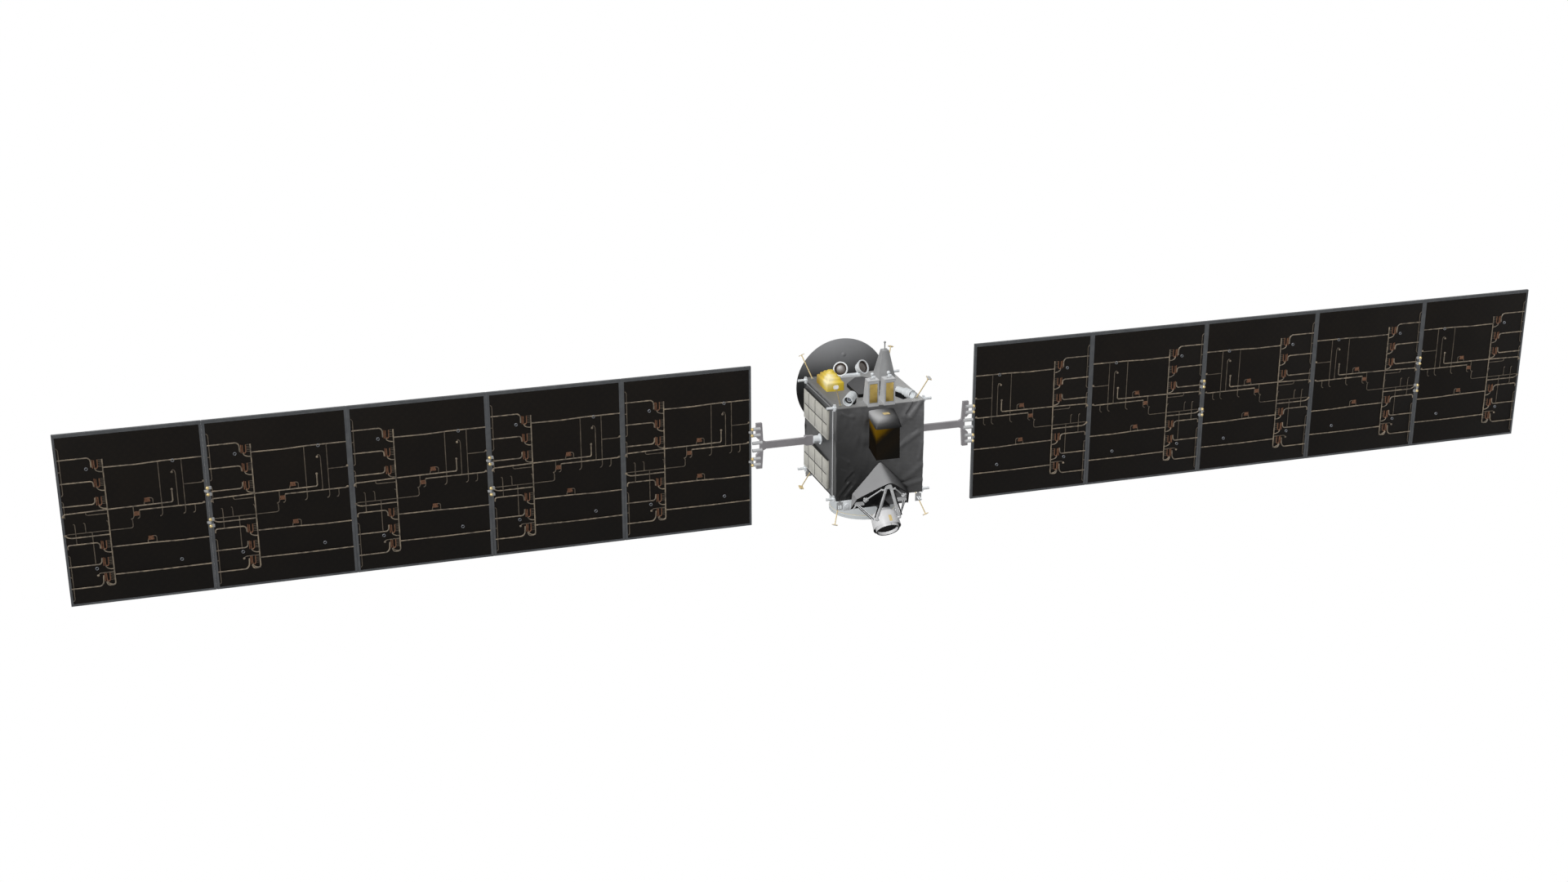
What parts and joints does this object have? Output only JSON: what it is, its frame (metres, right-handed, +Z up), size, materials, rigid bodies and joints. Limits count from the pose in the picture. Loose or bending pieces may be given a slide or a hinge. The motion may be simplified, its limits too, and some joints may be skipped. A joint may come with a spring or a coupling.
{
  "type": "space probe",
  "caption": "Deep-space probe with folding solar wings, a high-gain dish, canted ion engines under tent shades and a launch ring.",
  "frame": {"origin": "bottom centre of the launch ring", "axes": "+Z up through the launch ring, X along the open wings, -Y towards the sensor box and front engine, +Y towards the dish"},
  "size_m": [19.69, 2.2677, 2.195],
  "materials": {
    "dark_blanket": "satin",
    "deck_grey": "satin",
    "white_paint": "satin",
    "grey_paint": "matte",
    "shade_grey": "satin",
    "louver_grey": "satin",
    "amber_film": "gloss",
    "gold_blanket": "satin",
    "dish_coat": "satin",
    "engine_white": "satin",
    "tan_rod": "satin",
    "black_box": "satin",
    "cell_face": "satin",
    "hinge_gold": "polished",
    "rod_white": "satin"
  },
  "bodies": {
    "bus": {"antenna_tower": "shade_grey", "bottom_deck": "dark_blanket", "bus_core": "dark_blanket", "camera_housings": "louver_grey", "centre_engine": "engine_white", "corner_masts": "tan_rod", "corner_plates": "shade_grey", "cup_bracket": "white_paint", "cup_sensors": "white_paint", "deck_plate": "deck_grey", "dish_feed": "white_paint", "dish_mount": "grey_paint", "dish_reflector": "dish_coat", "drive_housings": "white_paint", "end_walls": "dark_blanket", "engine_mounts": "rod_white", "engine_shades": "shade_grey", "front_box": "amber_film", "front_hood": "shade_grey", "launch_ring": "white_paint", "louvers": "louver_grey", "outer_engines": "engine_white", "side_walls": "dark_blanket", "star_trackers": "white_paint", "stepped_box": "gold_blanket", "thruster_nozzles": "white_paint", "top_deck": "deck_grey", "tracker_blocks": "black_box", "wing_posts": "white_paint"},
    "left_root": {"left_root_block": "grey_paint"},
    "left_yoke": {"left_yoke": "grey_paint", "left_yoke_rods": "rod_white"},
    "left_wing_1": {"left_panel_1": "cell_face", "left_hinges_1": "hinge_gold"},
    "left_wing_2": {"left_panel_2": "cell_face", "left_hinges_2": "hinge_gold"},
    "left_wing_3": {"left_panel_3": "cell_face", "left_hinges_3": "hinge_gold"},
    "left_wing_4": {"left_panel_4": "cell_face", "left_hinges_4": "hinge_gold"},
    "left_wing_5": {"left_panel_5": "cell_face", "left_hinges_5": "hinge_gold"},
    "right_root": {"right_root_block": "grey_paint"},
    "right_yoke": {"right_yoke": "grey_paint", "right_yoke_rods": "rod_white"},
    "right_wing_1": {"right_panel_1": "cell_face", "right_hinges_1": "hinge_gold"},
    "right_wing_2": {"right_panel_2": "cell_face", "right_hinges_2": "hinge_gold"},
    "right_wing_3": {"right_panel_3": "cell_face", "right_hinges_3": "hinge_gold"},
    "right_wing_4": {"right_panel_4": "cell_face", "right_hinges_4": "hinge_gold"},
    "right_wing_5": {"right_panel_5": "cell_face", "right_hinges_5": "hinge_gold"}
  },
  "joints": [
    {"name": "left_drive", "type": "hinge", "parent": "bus", "child": "left_root", "pos_m": [-0.686, 0, 1.01], "axis": [-1, 0, 0], "continuous": true},
    {"name": "left_root_fold", "type": "hinge", "parent": "left_root", "child": "left_yoke", "pos_m": [-0.778, 0.036, 1.01], "axis": [0, 0, -1], "range_deg": [0, 90]},
    {"name": "left_hinge_1", "type": "hinge", "parent": "left_yoke", "child": "left_wing_1", "pos_m": [-1.503, -0.048, 1.01], "axis": [0, 0, 1], "range_deg": [0, 180]},
    {"name": "left_hinge_2", "type": "hinge", "parent": "left_wing_1", "child": "left_wing_2", "pos_m": [-3.1724, 0.036, 1.01], "axis": [0, 0, -1], "range_deg": [0, 180]},
    {"name": "left_hinge_3", "type": "hinge", "parent": "left_wing_2", "child": "left_wing_3", "pos_m": [-4.8418, -0.044, 1.01], "axis": [0, 0, 1], "range_deg": [0, 180]},
    {"name": "left_hinge_4", "type": "hinge", "parent": "left_wing_3", "child": "left_wing_4", "pos_m": [-6.5112, 0.036, 1.01], "axis": [0, 0, -1], "range_deg": [0, 180]},
    {"name": "left_hinge_5", "type": "hinge", "parent": "left_wing_4", "child": "left_wing_5", "pos_m": [-8.1806, -0.044, 1.01], "axis": [0, 0, 1], "range_deg": [0, 180]},
    {"name": "right_drive", "type": "hinge", "parent": "bus", "child": "right_root", "pos_m": [0.686, 0, 1.01], "axis": [1, 0, 0], "continuous": true},
    {"name": "right_root_fold", "type": "hinge", "parent": "right_root", "child": "right_yoke", "pos_m": [0.778, 0.036, 1.01], "axis": [0, 0, 1], "range_deg": [0, 90]},
    {"name": "right_hinge_1", "type": "hinge", "parent": "right_yoke", "child": "right_wing_1", "pos_m": [1.503, -0.048, 1.01], "axis": [0, 0, -1], "range_deg": [0, 180]},
    {"name": "right_hinge_2", "type": "hinge", "parent": "right_wing_1", "child": "right_wing_2", "pos_m": [3.1724, 0.036, 1.01], "axis": [0, 0, 1], "range_deg": [0, 180]},
    {"name": "right_hinge_3", "type": "hinge", "parent": "right_wing_2", "child": "right_wing_3", "pos_m": [4.8418, -0.044, 1.01], "axis": [0, 0, -1], "range_deg": [0, 180]},
    {"name": "right_hinge_4", "type": "hinge", "parent": "right_wing_3", "child": "right_wing_4", "pos_m": [6.5112, 0.036, 1.01], "axis": [0, 0, 1], "range_deg": [0, 180]},
    {"name": "right_hinge_5", "type": "hinge", "parent": "right_wing_4", "child": "right_wing_5", "pos_m": [8.1806, -0.044, 1.01], "axis": [0, 0, -1], "range_deg": [0, 180]}
  ],
  "couplings": [
    {"joint": "left_hinge_1", "follows": "left_root_fold", "ratio": 2},
    {"joint": "left_hinge_2", "follows": "left_root_fold", "ratio": 2},
    {"joint": "left_hinge_3", "follows": "left_root_fold", "ratio": 2},
    {"joint": "left_hinge_4", "follows": "left_root_fold", "ratio": 2},
    {"joint": "left_hinge_5", "follows": "left_root_fold", "ratio": 2},
    {"joint": "right_hinge_1", "follows": "right_root_fold", "ratio": 2},
    {"joint": "right_hinge_2", "follows": "right_root_fold", "ratio": 2},
    {"joint": "right_hinge_3", "follows": "right_root_fold", "ratio": 2},
    {"joint": "right_hinge_4", "follows": "right_root_fold", "ratio": 2},
    {"joint": "right_hinge_5", "follows": "right_root_fold", "ratio": 2}
  ]
}
